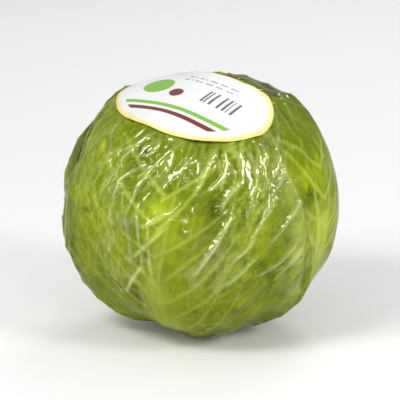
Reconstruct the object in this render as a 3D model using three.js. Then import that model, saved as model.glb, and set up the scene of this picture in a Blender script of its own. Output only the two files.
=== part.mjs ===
// A whole iceberg lettuce as it is sold: a dense head of cupped leaves, shrunk into a clear film
// that is gathered under the head, with an oval paper label on the film over the crown.
// Millimetres, +Z up. The head stands on its cut stem, on the flat gathered foot of the film.
// The origin is on the ground under the middle of the head, and -Y is the side that the label faces.
//
// Every thin piece is a sheet that lies on what is under it. A sheet is a net of directions from
// the middle of the head, and each of its points slides along its own direction until the whole
// net clears the stack of pieces below, as a leaf or a film does when it is pressed on.
import * as THREE from "three";

// The tight inner head
const INNER_HEAD_RADIUS = 57;
const INNER_HEAD_CROWN = 63;
const INNER_HEAD_FOOT = 47.5;
const CROWN_SQUARENESS = 2.08;
const FOOT_SQUARENESS = 2.35;
const INNER_FOLD_RISE = 1.4;
const INNER_FOLD_REACHES = [74, 80, 86];
const INNER_FOLD_EDGE = 0.07;
const INNER_HEAD_ROWS = 20;
const INNER_HEAD_COLUMNS = 36;

// The wrapper leaves, from the innermost to the outermost
const LEAF_COUNT = 8;
const LEAF_TURN = 137.5;
const OUTER_LEAF_AZIMUTH = -112;
const INNER_LEAF_LENGTH = 172;
const OUTER_LEAF_LENGTH = 150;
const LEAF_WIDTH_SHARE = 0.86;
const LEAF_THICKNESS = 0.9;
const LEAF_BASE_RADIUS = 9;
const INNER_LEAF_BASE_FROM_AXIS = 20.8;
const OUTER_LEAF_BASE_FROM_AXIS = 19;
const LEAF_LOBE_TURN = 96;
const LEAF_BEND = 12;
const LEAF_OUTLINE_TURN = 0.76;
const LEAF_OUTLINE_POWER = 0.72;
const LEAF_COLUMN_CROWDING = 1.25;
const RUFFLE_START = 0.62;
const RUFFLE_RISE = 2;
const RUFFLE_REACH = 4;
const RIB_RISE = 2.2;
const RIB_HALF_WIDTH_AT_BASE = 12;
const RIB_HALF_WIDTH_AT_TIP = 2.2;
const LEAF_COLUMNS = 27;
const LEAF_ROWS = [0, 0.1, 0.21, 0.32, 0.43, 0.54, 0.65, 0.75, 0.84, 0.92, 1];

// The cut stem
const STEM_RADIUS = 12.8;
const STEM_SIDES = 20;
const STEM_BEVEL = 1.5;
const STEM_TAPER = 1.4;

// The clear film
const FILM_THICKNESS = 0.6;
const FILM_MOUTH_RADIUS = 5;
const FILM_FOOT_RADIUS = 25;
const FILM_COLUMNS = 48;
const FILM_ROWS = 20;
const FILM_SLACK = 0.7;
const PLEAT_RISE = 1.7;
const PLEAT_FOOT = 25;
const PLEAT_TOP = 66;
const LOOSE_FOLD_RISE = 4.5;
const LOOSE_FOLD_HALF_WIDTH = 5;
const LOOSE_FOLD_REACH = [40, 62, 112, 134];
const LOOSE_FOLDS = [
  { footAzimuth: -38, topAzimuth: -56 },
  { footAzimuth: 158, topAzimuth: 176 },
];

// The oval label
const LABEL_LENGTH = 88;
const LABEL_HEIGHT = 63;
const LABEL_TILT = 20;
const LABEL_AZIMUTH = -102;
const LABEL_LEAN = -24;
const LABEL_THICKNESS = 0.6;
const LABEL_SIDES = 28;
const LABEL_RINGS = [0.42, 0.76, 1];

// How the sheets are laid
const MEAN_RADIUS = 68;
const CLEARANCE = 0.4;
const LEAF_PRESS = { rounds: 4, tautness: 0.55 };
const FILM_PRESS = { rounds: 14, tautness: 0.7 };
const LABEL_PRESS = { rounds: 6, tautness: 0.5 };
const LIFT_PASSES = 6;
const LIFT_SHARE = 0.35;
const SAMPLE_COUNT = 9000;
const SAMPLE_SPREAD = 3.4;
const SEED = 11;

const UP = new THREE.Vector3(0, 0, 1);
const radians = THREE.MathUtils.degToRad;
const smooth = THREE.MathUtils.smoothstep;
const mix = THREE.MathUtils.lerp;

// Evenly spread directions in which the height of the stack is kept.
const samples = Array.from({ length: SAMPLE_COUNT }, (_, i) => {
  const z = 1 - (2 * i + 1) / SAMPLE_COUNT;
  const turn = i * Math.PI * (3 - Math.sqrt(5));
  const across = Math.sqrt(1 - z * z);
  return new THREE.Vector3(across * Math.cos(turn), across * Math.sin(turn), z);
});

// The samples that lie close round each sample.
const closeBy = samples.map((sample) => {
  const nearness = Math.cos(SAMPLE_SPREAD / MEAN_RADIUS);
  return samples.flatMap((other, i) => (sample.dot(other) > nearness ? [i] : []));
});

function seededRandom(seed) {
  let state = seed;
  return () => {
    state = (state + 0x6d2b79f5) | 0;
    let t = Math.imul(state ^ (state >>> 15), 1 | state);
    t = (t + Math.imul(t ^ (t >>> 7), 61 | t)) ^ t;
    return ((t ^ (t >>> 14)) >>> 0) / 4294967296;
  };
}
const random = seededRandom(SEED);

// A unit direction from its angle round the head and its angle up from straight down.
function directionAt(azimuth, fromFoot) {
  const [turn, rise] = [radians(azimuth), radians(fromFoot)];
  const across = Math.sin(rise);
  return new THREE.Vector3(across * Math.cos(turn), across * Math.sin(turn), -Math.cos(rise));
}

// The angle of a direction up from straight down, in degrees.
function angleFromFoot(direction) {
  return 180 - THREE.MathUtils.radToDeg(direction.angleTo(UP));
}

// A flat patch laid on the ball about a middle direction: distances from its middle stay true.
class Patch {
  constructor(middle, lean = 0) {
    this.middle = middle;
    this.side = new THREE.Vector3().crossVectors(UP, middle).normalize();
    this.up = new THREE.Vector3().crossVectors(middle, this.side);
    this.side.applyAxisAngle(middle, radians(lean));
    this.up.applyAxisAngle(middle, radians(lean));
  }
  direction(x, y) {
    const far = Math.hypot(x, y);
    const angle = far / MEAN_RADIUS;
    const spread = far > 0 ? Math.sin(angle) / far : 0;
    return this.middle
      .clone()
      .multiplyScalar(Math.cos(angle))
      .addScaledVector(this.side, x * spread)
      .addScaledVector(this.up, y * spread)
      .normalize();
  }
}

// A net of directions with triangles, seen from outside. radius holds each point's inner distance.
class Sheet {
  constructor(directions, triangles) {
    this.directions = directions;
    this.triangles = triangles;
    this.radius = new Array(directions.length).fill(0);
    this.pinned = new Array(directions.length).fill(false);
    this.neighbours = directions.map(() => new Set());
    for (const [a, b, c] of triangles) {
      this.neighbours[a].add(b).add(c);
      this.neighbours[b].add(a).add(c);
      this.neighbours[c].add(a).add(b);
    }
    this.under = this.locate();
  }

  // Which triangle each sample direction runs through, and its share of each corner.
  locate() {
    const found = [];
    for (const triangle of this.triangles) {
      const [a, b, c] = triangle.map((i) => this.directions[i]);
      const corners = new THREE.Matrix3().set(
        ...[a.x, b.x, c.x],
        ...[a.y, b.y, c.y],
        ...[a.z, b.z, c.z],
      );
      if (Math.abs(corners.determinant()) < 1e-9) continue;
      const inverse = corners.invert();
      samples.forEach((sample, index) => {
        if (sample.dot(a) < 0.6) return;
        const share = sample.clone().applyMatrix3(inverse);
        if (Math.min(share.x, share.y, share.z) >= 0) found.push({ index, triangle, share: share.toArray() });
      });
    }
    return found;
  }

  // How far out the facets are in a sample's direction.
  reach({ triangle, share }, radius) {
    return 1 / share.reduce((sum, part, k) => sum + part / radius[triangle[k]], 0);
  }

  // Slides the points out until every facet clears the stack, and draws the sheet taut in between.
  layOn(stack, { rounds, tautness }) {
    const raised = closeBy.map((around) => Math.max(...around.map((i) => stack[i])));
    this.directions.forEach((direction, i) => {
      if (!this.pinned[i]) this.radius[i] = stackNear(raised, direction);
    });
    for (let round = 0; round <= rounds; round++) {
      if (round < rounds) this.drawTaut(tautness);
      this.lift(raised);
    }
  }

  drawTaut(tautness) {
    const before = [...this.radius];
    this.neighbours.forEach((around, i) => {
      if (this.pinned[i]) return;
      const mean = [...around].reduce((sum, n) => sum + before[n], 0) / around.size;
      this.radius[i] = mix(before[i], mean, tautness);
    });
  }

  lift(stack) {
    for (let pass = 0; pass < LIFT_PASSES; pass++)
      for (const spot of this.under) {
        const short = stack[spot.index] + CLEARANCE - this.reach(spot, this.radius);
        if (short <= 0) continue;
        spot.triangle.forEach((corner, k) => {
          if (!this.pinned[corner]) this.radius[corner] += short * (LIFT_SHARE + spot.share[k]);
        });
      }
  }

  // Raises the stack to the sheet's outer face.
  coverStack(stack, outer) {
    for (const spot of this.under)
      stack[spot.index] = Math.max(stack[spot.index], this.reach(spot, outer));
  }

  // The sheet as a closed solid between its inner and outer faces.
  solid(outer) {
    const inside = this.directions.map((d, i) => d.clone().multiplyScalar(this.radius[i]));
    const outside = this.directions.map((d, i) => d.clone().multiplyScalar(outer[i]));
    const count = inside.length;
    const faces = [];
    const open = new Map();
    for (const [a, b, c] of this.triangles) {
      faces.push([a, b, c], [count + a, count + c, count + b]);
      for (const [from, to] of [[a, b], [b, c], [c, a]])
        if (!open.delete(`${to} ${from}`)) open.set(`${from} ${to}`, [from, to]);
    }
    for (const [from, to] of open.values())
      faces.push([to, from, count + from], [to, count + from, count + to]);
    return geometryOf([...outside, ...inside], faces);
  }
}

function geometryOf(points, faces) {
  return new THREE.BufferGeometry().setFromPoints(points).setIndex(faces.flat());
}

// The height of the stack round one direction.
function stackNear(stack, direction) {
  let nearest = -1;
  let height = 0;
  samples.forEach((sample, i) => {
    const near = sample.dot(direction);
    if (near > nearest) {
      nearest = near;
      height = stack[i];
    }
  });
  return height;
}

// Triangles of a grid of rows by columns, seen from outside, split along alternate diagonals.
function gridTriangles(rows, columns, closed, flipped) {
  const triangles = [];
  const across = closed ? columns : columns - 1;
  for (let row = 0; row + 1 < rows; row++)
    for (let column = 0; column < across; column++) {
      const a = row * columns + column;
      const b = row * columns + ((column + 1) % columns);
      const [c, d] = [b + columns, a + columns];
      const split = (row + column) % 2 ? [[a, b, c], [a, c, d]] : [[a, b, d], [b, c, d]];
      triangles.push(...split.map((t) => (flipped ? [t[0], t[2], t[1]] : t)));
    }
  return triangles;
}

// How far a leaf reaches from its base in a direction turned from its midrib.
function leafReach(length, turn) {
  return length * Math.cos(radians(turn * LEAF_OUTLINE_TURN)) ** LEAF_OUTLINE_POWER;
}

// The wrapper leaf of one rank: where it grows, how long it is and how far its tip bends aside.
function leafPlan(rank) {
  const share = rank / (LEAF_COUNT - 1);
  const length = mix(INNER_LEAF_LENGTH, OUTER_LEAF_LENGTH, share);
  const fromAxis = mix(INNER_LEAF_BASE_FROM_AXIS, OUTER_LEAF_BASE_FROM_AXIS, share);
  const foot = THREE.MathUtils.radToDeg(fromAxis / MEAN_RADIUS);
  const halfTurn = THREE.MathUtils.radToDeg(length / 2 / MEAN_RADIUS);
  const azimuth = OUTER_LEAF_AZIMUTH - (LEAF_COUNT - 1 - rank) * LEAF_TURN;
  const bend = LEAF_BEND * (rank % 2 ? 1 : -1);
  return { length, bend, patch: new Patch(directionAt(azimuth, foot + halfTurn)) };
}

// A cupped leaf with a raised midrib and a ruffled edge, laid on the stack.
function wrapperLeaf(rank, stack) {
  const { length, bend, patch } = leafPlan(rank);
  const directions = [];
  const ribRise = [];
  const ruffle = [];
  const middle = (LEAF_COLUMNS - 1) / 2;
  const turns = Array.from({ length: LEAF_COLUMNS }, (_, column) => {
    const side = (column - middle) / middle;
    return LEAF_LOBE_TURN * Math.sign(side) * Math.abs(side) ** LEAF_COLUMN_CROWDING;
  });
  const waves = turns.map((_, column) => (column % 2 ? 1 : 0) * mix(0.6, 1, random()));
  for (const row of LEAF_ROWS)
    turns.forEach((turn, column) => {
      const edge = smooth(row, RUFFLE_START, 1);
      const reach = leafReach(length, turn) - RUFFLE_REACH * edge * waves[column];
      const far = mix(LEAF_BASE_RADIUS, reach, row);
      const x = far * Math.sin(radians(turn)) * LEAF_WIDTH_SHARE;
      const y = far * Math.cos(radians(turn)) - length / 2;
      const along = THREE.MathUtils.clamp((y + length / 2) / length, 0, 1);
      const halfWidth = mix(RIB_HALF_WIDTH_AT_BASE, RIB_HALF_WIDTH_AT_TIP, along ** 0.5);
      directions.push(patch.direction(x + bend * along ** 2, y));
      ribRise.push(RIB_RISE * (1 - along) ** 0.7 * Math.exp(-((x / halfWidth) ** 2)));
      ruffle.push(RUFFLE_RISE * edge * waves[column]);
    });
  const sheet = new Sheet(directions, gridTriangles(LEAF_ROWS.length, LEAF_COLUMNS, false, false));
  sheet.layOn(stack, LEAF_PRESS);
  sheet.radius = sheet.radius.map((r, i) => r + ruffle[i]);
  const outer = sheet.radius.map((r, i) => r + LEAF_THICKNESS + ribRise[i]);
  sheet.coverStack(stack, outer);
  return sheet.solid(outer);
}

// The head's own outline, before its folds.
function innerHeadRadius(direction) {
  const tall = direction.z > 0 ? INNER_HEAD_CROWN : INNER_HEAD_FOOT;
  const level = Math.hypot(direction.x, direction.y) / INNER_HEAD_RADIUS;
  const upright = Math.abs(direction.z) / tall;
  const power = direction.z > 0 ? CROWN_SQUARENESS : FOOT_SQUARENESS;
  return (level ** power + upright ** power) ** (-1 / power);
}

// The dense inner head: young leaves packed tight, with the edges of the last ones raised.
function innerHead(stack) {
  const [rows, columns] = [INNER_HEAD_ROWS, INNER_HEAD_COLUMNS];
  const folds = INNER_FOLD_REACHES.map((reach, k) => {
    const azimuth = OUTER_LEAF_AZIMUTH - (LEAF_COUNT + k) * LEAF_TURN;
    return { middle: directionAt(azimuth, 100), edge: Math.cos(radians(reach)) };
  });
  const points = [];
  for (let row = 0; row <= rows; row++)
    for (let column = 0; column < columns; column++) {
      const direction = directionAt((column * 360) / columns, (row * 180) / rows);
      const within = folds.map((fold) => fold.middle.dot(direction) - fold.edge);
      const covers = within.reduce((sum, depth) => sum + smooth(depth, 0, INNER_FOLD_EDGE), 0);
      const radius = innerHeadRadius(direction) + covers * INNER_FOLD_RISE;
      points.push(direction.multiplyScalar(radius));
      if (row === 0 || row === rows) break;
    }
  const ring = (row, column) => 1 + (row - 1) * columns + (column % columns);
  const last = points.length - 1;
  const faces = [];
  for (let column = 0; column < columns; column++) {
    faces.push([0, ring(1, column + 1), ring(1, column)]);
    faces.push([last, ring(rows - 1, column), ring(rows - 1, column + 1)]);
    for (let row = 1; row < rows - 1; row++) {
      const [a, b] = [ring(row, column), ring(row, column + 1)];
      const [c, d] = [ring(row + 1, column + 1), ring(row + 1, column)];
      faces.push([a, b, c], [a, c, d]);
    }
  }
  const lengths = points.map((point) => point.length());
  new Sheet(points.map((point) => point.clone().normalize()), faces).coverStack(stack, lengths);
  return geometryOf(points, faces);
}

// The cut stem under the head, with the edge that the knife leaves slightly rounded.
function cutStem(footHeight) {
  const bottom = footHeight + FILM_THICKNESS + CLEARANCE;
  const top = -INNER_HEAD_FOOT - CLEARANCE;
  const profile = [
    [0, bottom],
    [STEM_RADIUS - STEM_BEVEL, bottom],
    [STEM_RADIUS, bottom + STEM_BEVEL],
    [STEM_RADIUS - STEM_TAPER / 2, (bottom + top) / 2],
    [STEM_RADIUS - STEM_TAPER, top],
    [0, top],
  ].map(([across, up]) => new THREE.Vector2(across, up));
  return new THREE.LatheGeometry(profile, STEM_SIDES);
}

// The rows of the film: three flat rings of its gathered foot, then rings up to the crown.
function filmRows(footHeight) {
  const flat = [FILM_MOUTH_RADIUS, FILM_FOOT_RADIUS * 0.6, FILM_FOOT_RADIUS];
  const flatAngles = flat.map((across) => THREE.MathUtils.radToDeg(Math.atan2(across, -footHeight)));
  const first = flatAngles[flatAngles.length - 1];
  const rising = Array.from({ length: FILM_ROWS }, (_, k) => mix(first, 180, (k + 1) / (FILM_ROWS + 1)));
  return { flatAngles, rising };
}

// The clear film: taut over the crown, pleated towards its foot, with two loose folds at the sides.
function filmWrap(stack, footHeight) {
  const { flatAngles, rising } = filmRows(footHeight);
  const angles = [...flatAngles, ...rising];
  const directions = [];
  for (const fromFoot of angles)
    for (let column = 0; column < FILM_COLUMNS; column++)
      directions.push(directionAt((column * 360) / FILM_COLUMNS, fromFoot));
  const triangles = gridTriangles(angles.length, FILM_COLUMNS, true, false);
  const crown = directions.length;
  directions.push(UP.clone());
  for (let column = 0; column < FILM_COLUMNS; column++) {
    const start = (angles.length - 1) * FILM_COLUMNS;
    triangles.push([start + column, start + ((column + 1) % FILM_COLUMNS), crown]);
  }
  const sheet = new Sheet(directions, triangles);
  const flatCount = flatAngles.length * FILM_COLUMNS;
  for (let i = 0; i < flatCount; i++) {
    sheet.pinned[i] = true;
    sheet.radius[i] = footHeight / directions[i].z - FILM_THICKNESS;
  }
  sheet.layOn(stack, FILM_PRESS);
  for (let i = flatCount; i < crown; i++) {
    const fromFoot = angles[Math.floor(i / FILM_COLUMNS)];
    const column = i % FILM_COLUMNS;
    const pleat = column % 2 ? PLEAT_RISE * (1 - smooth(fromFoot, PLEAT_FOOT, PLEAT_TOP)) : 0;
    sheet.radius[i] += FILM_SLACK + pleat + looseFolds((column * 360) / FILM_COLUMNS, fromFoot);
  }
  const outer = sheet.radius.map((r) => r + FILM_THICKNESS);
  sheet.coverStack(stack, outer);
  return sheet.solid(outer);
}

// How far the film stands off in the loose folds that run up the sides of the head.
function looseFolds(azimuth, fromFoot) {
  const [low, full, fading, high] = LOOSE_FOLD_REACH;
  const fade = smooth(fromFoot, low, full) * (1 - smooth(fromFoot, fading, high));
  const off = LOOSE_FOLDS.map(({ footAzimuth, topAzimuth }) => {
    const along = (fromFoot - low) / (high - low);
    const turn = azimuth - mix(footAzimuth, topAzimuth, along);
    return THREE.MathUtils.euclideanModulo(turn + 180, 360) - 180;
  });
  const ridges = off.map((turn) => Math.exp(-((turn / LOOSE_FOLD_HALF_WIDTH) ** 2)));
  return ridges.reduce((sum, ridge) => sum + ridge, 0) * LOOSE_FOLD_RISE * fade;
}

// The oval label, stuck on the film over the crown and tipped towards the front.
function ovalLabel(stack) {
  const patch = new Patch(directionAt(LABEL_AZIMUTH, 180 - LABEL_TILT), LABEL_LEAN);
  const directions = [];
  for (const ring of LABEL_RINGS)
    for (let side = 0; side < LABEL_SIDES; side++) {
      const turn = (side / LABEL_SIDES) * 2 * Math.PI;
      const x = (LABEL_LENGTH / 2) * ring * Math.cos(turn);
      const y = (LABEL_HEIGHT / 2) * ring * Math.sin(turn);
      directions.push(patch.direction(x, y));
    }
  const triangles = gridTriangles(LABEL_RINGS.length, LABEL_SIDES, true, true);
  const centre = directions.length;
  directions.push(patch.direction(0, 0));
  for (let side = 0; side < LABEL_SIDES; side++)
    triangles.push([side, (side + 1) % LABEL_SIDES, centre]);
  const sheet = new Sheet(directions, triangles);
  sheet.layOn(stack, LABEL_PRESS);
  return sheet.solid(sheet.radius.map((r) => r + LABEL_THICKNESS));
}

// How low the leaves hang round the stem, which sets the height of the film's flat foot.
function footHeightUnder(stack) {
  const reach = THREE.MathUtils.radToDeg(Math.atan2(FILM_FOOT_RADIUS + 4, MEAN_RADIUS));
  let lowest = 0;
  samples.forEach((sample, i) => {
    if (angleFromFoot(sample) < reach) lowest = Math.min(lowest, sample.z * stack[i]);
  });
  return lowest - FILM_THICKNESS - 2 * CLEARANCE;
}

const finishes = {
  innerHead: { color: 0xb9c75c, roughness: 0.5 },
  outerLeaf: { color: 0x8fa82f, roughness: 0.45 },
  innerLeaf: { color: 0xa9bd49, roughness: 0.48 },
  stem: { color: 0xd9cfa2, roughness: 0.6 },
  film: { color: 0xf2f5ee, roughness: 0.12, transparent: true, opacity: 0.25 },
  label: { color: 0xf7f6f2, roughness: 0.4 },
};

function mesh(name, geometry, finish) {
  const made = new THREE.Mesh(geometry, new THREE.MeshStandardMaterial({ metalness: 0, ...finish }));
  made.name = name;
  return made;
}

const lettuce = new THREE.Group();
const stack = new Array(SAMPLE_COUNT).fill(0);
lettuce.add(mesh("inner_head", innerHead(stack), finishes.innerHead));
for (let rank = 0; rank < LEAF_COUNT; rank++) {
  const finish = rank < LEAF_COUNT / 2 ? finishes.innerLeaf : finishes.outerLeaf;
  lettuce.add(mesh(`wrapper_leaf_${rank + 1}`, wrapperLeaf(rank, stack), finish));
}
const footHeight = footHeightUnder(stack);
lettuce.add(mesh("cut_stem", cutStem(footHeight).rotateX(Math.PI / 2), finishes.stem));
lettuce.add(mesh("film_wrap", filmWrap(stack, footHeight), finishes.film));
lettuce.add(mesh("oval_label", ovalLabel(stack), finishes.label));

// The ground is at the film's foot, and the origin under the middle of the whole.
const box = new THREE.Box3().setFromObject(lettuce);
const centre = box.getCenter(new THREE.Vector3());
lettuce.position.set(-centre.x, -centre.y, -box.min.z);

export default lettuce;
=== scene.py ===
# %% [markdown]
# An iceberg lettuce, as it is sold: a dense head of cupped leaves in a clear film, with an oval
# paper label on the crown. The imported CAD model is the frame. Each piece below takes its place
# from that frame and adds what a solid can't carry: veins, blisters, creases and print.

# %% The frame
import math

import bpy
import numpy as np
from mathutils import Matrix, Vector, kdtree
from mathutils.bvhtree import BVHTree


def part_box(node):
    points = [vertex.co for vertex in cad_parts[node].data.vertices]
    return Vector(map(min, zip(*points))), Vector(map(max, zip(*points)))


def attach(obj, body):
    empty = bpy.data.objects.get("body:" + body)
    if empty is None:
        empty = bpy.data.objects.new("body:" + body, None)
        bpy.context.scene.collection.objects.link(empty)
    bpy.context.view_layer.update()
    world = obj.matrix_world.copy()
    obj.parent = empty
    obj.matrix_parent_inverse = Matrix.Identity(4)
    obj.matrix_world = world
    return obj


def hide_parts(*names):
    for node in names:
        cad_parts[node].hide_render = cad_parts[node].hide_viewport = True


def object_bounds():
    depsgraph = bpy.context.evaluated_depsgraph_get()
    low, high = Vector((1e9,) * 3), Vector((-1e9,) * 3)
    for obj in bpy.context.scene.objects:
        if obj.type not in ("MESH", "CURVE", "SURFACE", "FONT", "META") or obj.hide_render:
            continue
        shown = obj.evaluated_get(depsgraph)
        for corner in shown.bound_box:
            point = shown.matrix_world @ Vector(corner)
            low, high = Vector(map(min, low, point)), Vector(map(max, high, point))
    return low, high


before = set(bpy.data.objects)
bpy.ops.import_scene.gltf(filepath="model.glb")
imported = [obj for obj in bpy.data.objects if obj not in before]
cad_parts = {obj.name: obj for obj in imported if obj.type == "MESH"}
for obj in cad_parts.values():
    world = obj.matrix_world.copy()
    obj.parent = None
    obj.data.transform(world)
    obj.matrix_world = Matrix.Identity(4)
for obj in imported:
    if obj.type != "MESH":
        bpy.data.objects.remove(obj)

cad_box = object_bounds()
MM = 0.001
print("CAD box in mm:", [[round(c / MM, 1) for c in corner] for corner in cad_box])

# %% [markdown]
# The camera comes first, because it decides what has to look right. A head of lettuce is mostly
# looked at from a little above, and from two metres away its outline hardly narrows with distance.
# A long lens from far off keeps that flat, calm perspective while the head fills the frame.

# %% The camera
CAMERA_ELEVATION = 15.2
CAMERA_DISTANCE = 2.07
CAMERA_LENS = 360
CAMERA_SIGHT = 50

middle = (cad_box[0] + cad_box[1]) / 2
rise = math.radians(CAMERA_ELEVATION)
back = Vector((0, -math.cos(rise), math.sin(rise)))
bpy.ops.object.camera_add(location=middle + back * CAMERA_DISTANCE)
camera = bpy.context.object
camera.name = "camera"
camera.rotation_euler = (-back).to_track_quat("-Z", "Y").to_euler()
camera.data.lens = CAMERA_LENS
camera.data.clip_end = CAMERA_SIGHT
bpy.context.scene.camera = camera
print("camera", CAMERA_DISTANCE, "m away,", CAMERA_ELEVATION, "degrees up")

# %% [markdown]
# The stage is a plain pale floor under a pale sky, as in a packshot. One soft lamp from the upper
# left gives the head its roundness, a weaker one from the right opens the shadows, and one behind
# lights the rim. The narrow strips at the sides and in front put thin bright lines on the creases
# of the film. Each lamp has its place and its size in metres, and its power in watts.

# %% The floor and the sky
FLOOR_SIZE = 40
FLOOR_COLOUR = (0.74, 0.74, 0.73)
SKY_COLOUR = (0.97, 0.98, 1)
SKY_STRENGTH = 0.55

bpy.ops.object.select_all(action="DESELECT")
bpy.ops.mesh.primitive_plane_add(size=FLOOR_SIZE, location=(0, 0, 0))
floor = bpy.context.object
floor.name = "floor"

world = bpy.data.worlds.new("sky")
world.use_nodes = True
sky = world.node_tree.nodes["Background"]
sky.inputs["Color"].default_value = (*SKY_COLOUR, 1)
sky.inputs["Strength"].default_value = SKY_STRENGTH
bpy.context.scene.world = world
bpy.context.scene.view_settings.view_transform = "Standard"
print("floor", FLOOR_SIZE, "m across")

# %% The lamps
LAMPS = {
    "key_softbox": ((-0.75, -0.85, 1.15), (0.55, 0.45), 14),
    "right_softbox": ((1.0, -0.75, 0.8), (0.4, 0.4), 8.5),
    "left_strip": ((-1.0, -0.45, 0.4), (0.06, 0.6), 2.2),
    "right_strip": ((1.1, -0.75, 0.3), (0.05, 0.6), 2.6),
    "front_strip": ((0.4, -1.2, 0.42), (0.05, 0.5), 2.4),
    "low_strip": ((-0.45, -1.2, 0.3), (0.4, 0.05), 2.4),
    "back_strip": ((0.35, 0.9, 0.9), (0.5, 0.1), 4),
}


def add_lamp(name, place, size, power):
    bpy.ops.object.light_add(type="AREA", location=place)
    lamp = bpy.context.object
    lamp.name = name
    lamp.data.shape = "RECTANGLE"
    lamp.data.size, lamp.data.size_y = size
    lamp.data.energy = power
    lamp.rotation_euler = (middle - Vector(place)).to_track_quat("-Z", "Y").to_euler()


for name, (place, size, power) in LAMPS.items():
    add_lamp(name, place, size, power)
print(len(LAMPS), "lamps")

# %% [markdown]
# Shader maths reads best as plain sums. This small class wraps a node's socket and turns + - *
# and ** into Math nodes, so that 1 - mask or mask * 0.5 can be written as such. Every other node
# is made by one method of the finish, which takes its type, its settings and its inputs.


# %% Shader maths
class Value:
    """A socket of a node tree that takes part in sums."""

    def __init__(self, finish, socket):
        self.finish = finish
        self.socket = socket

    def maths(self, operation, *others, clamp=False):
        settings = {"operation": operation, "use_clamp": clamp}
        inputs = dict(enumerate((self, *others)))
        return self.finish.node("ShaderNodeMath", settings, inputs)

    def __add__(self, other):
        return self.maths("ADD", other)

    def __sub__(self, other):
        return self.maths("SUBTRACT", other)

    def __mul__(self, other):
        return self.maths("MULTIPLY", other)

    def __pow__(self, other):
        return self.maths("POWER", other)

    def __rsub__(self, other):
        return self.finish.node("ShaderNodeMath", {"operation": "SUBTRACT"}, {0: other, 1: self})

    __radd__ = __add__
    __rmul__ = __mul__

    def between(self, low, high):
        """0 below low, 1 above high, and smooth in between."""
        settings = {"interpolation_type": "SMOOTHSTEP"}
        inputs = {"Value": self, "From Min": low, "From Max": high}
        return self.finish.node("ShaderNodeMapRange", settings, inputs)

    def clamped(self):
        return self.maths("ADD", 0, clamp=True)


print("sums on sockets are ready")


# %% A finish
class Finish:
    """A material whose nodes are added one by one."""

    def __init__(self, name):
        self.material = bpy.data.materials.new(name)
        self.material.use_nodes = True
        self.tree = self.material.node_tree
        self.tree.nodes.clear()
        self.output = self.tree.nodes.new("ShaderNodeOutputMaterial")

    def node(self, kind, settings=None, inputs=None, output=0):
        made = self.tree.nodes.new(kind)
        for key, value in (settings or {}).items():
            setattr(made, key, value)
        for key, value in (inputs or {}).items():
            self.feed(made.inputs[key], value)
        return Value(self, made.outputs[output])

    def feed(self, socket, value):
        if isinstance(value, Value):
            self.tree.links.new(value.socket, socket)
        elif isinstance(value, tuple) and len(value) == 3 and socket.type == "RGBA":
            socket.default_value = (*value, 1)
        else:
            socket.default_value = value

    def place(self, stretch=(1, 1, 1), lean=0):
        """A point of the piece in metres. Patterns on it get longer by stretch, and lean aside."""
        source = self.node("ShaderNodeTexCoord", output="Object")
        inputs = {"Vector": source, "Rotation": (0, math.radians(lean), 0), "Scale": stretch}
        return self.node("ShaderNodeMapping", {"vector_type": "TEXTURE"}, inputs)

    def noise(self, size, detail=3.0, roughness=0.5, at=None, warp=0.0):
        """A soft random pattern whose spots are about size metres across."""
        inputs = {"Vector": at or self.place(), "Scale": 1 / size, "Detail": detail}
        inputs |= {"Roughness": roughness, "Distortion": warp}
        return self.node("ShaderNodeTexNoise", {}, inputs)

    def lines(self, size, sharpness, at, warp=0.5):
        """Winding thin lines, 1 on the line and 0 beside it: noise folded at its middle."""
        noise = self.noise(size, detail=1.5, roughness=0.4, at=at, warp=warp)
        return (1 - (noise - 0.5).maths("ABSOLUTE") * sharpness).clamped()

    def attribute(self, name, channel):
        """One channel of a colour that is stored at the piece's vertices."""
        source = self.node("ShaderNodeAttribute", {"attribute_name": name}, output="Color")
        return self.node("ShaderNodeSeparateColor", {}, {0: source}, output=channel)

    def mix(self, share, low, high):
        """One colour where share is 0 and another where it is 1."""
        settings = {"data_type": "RGBA", "clamp_factor": True}
        return self.node("ShaderNodeMix", settings, {0: share, 6: low, 7: high}, output=2)

    def bump(self, height, depth):
        """A normal that makes height, from 0 to 1, look depth metres deep."""
        inputs = {"Height": height, "Strength": 1.0, "Distance": depth}
        return self.node("ShaderNodeBump", {}, inputs)

    def principled(self, **inputs):
        named = {key.replace("_", " "): value for key, value in inputs.items()}
        return self.node("ShaderNodeBsdfPrincipled", {}, named)

    def show(self, shader):
        self.tree.links.new(shader.socket, self.output.inputs["Surface"])
        return self.material


floor_finish = Finish("pale_floor")
floor_shader = floor_finish.principled(Base_Color=FLOOR_COLOUR, Roughness=0.75)
floor.data.materials.append(floor_finish.show(floor_shader))
print("finishes are ready")

# %% [markdown]
# The whole head is built round one middle point. A leaf or a film is a net of directions from that
# point, and how far out each knot of the net lies makes its shape. So a thin piece can be pressed
# on the pieces under it by moving its knots in and out, and it never slides sideways.

# %% The middle of the head
STEM_TOP_BELOW_MIDDLE = 47.9 * MM
MEAN_RADIUS = 68 * MM
FAR_OUT = 200 * MM
TINY = 1e-9

stem_low, stem_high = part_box("cut_stem")
HEART = Vector(((stem_low.x + stem_high.x) / 2, (stem_low.y + stem_high.y) / 2, 0))
HEART.z = stem_high.z + STEM_TOP_BELOW_MIDDLE
print("middle of the head in mm:", [round(c / MM, 2) for c in HEART])


# %% Directions from the middle
def direction_at(azimuth, from_foot):
    """Unit directions from angles in degrees: round the head, and up from straight down."""
    turn, up = np.radians(azimuth), np.radians(from_foot)
    parts = np.sin(up) * np.cos(turn), np.sin(up) * np.sin(turn), -np.cos(up)
    return np.stack(np.broadcast_arrays(*parts), axis=-1)


def unit(vectors):
    return vectors / np.linalg.norm(vectors, axis=-1, keepdims=True)


def placed(directions, radius):
    """The points that lie out from the middle by radius."""
    return np.array(HEART) + directions * radius[..., None]


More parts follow.
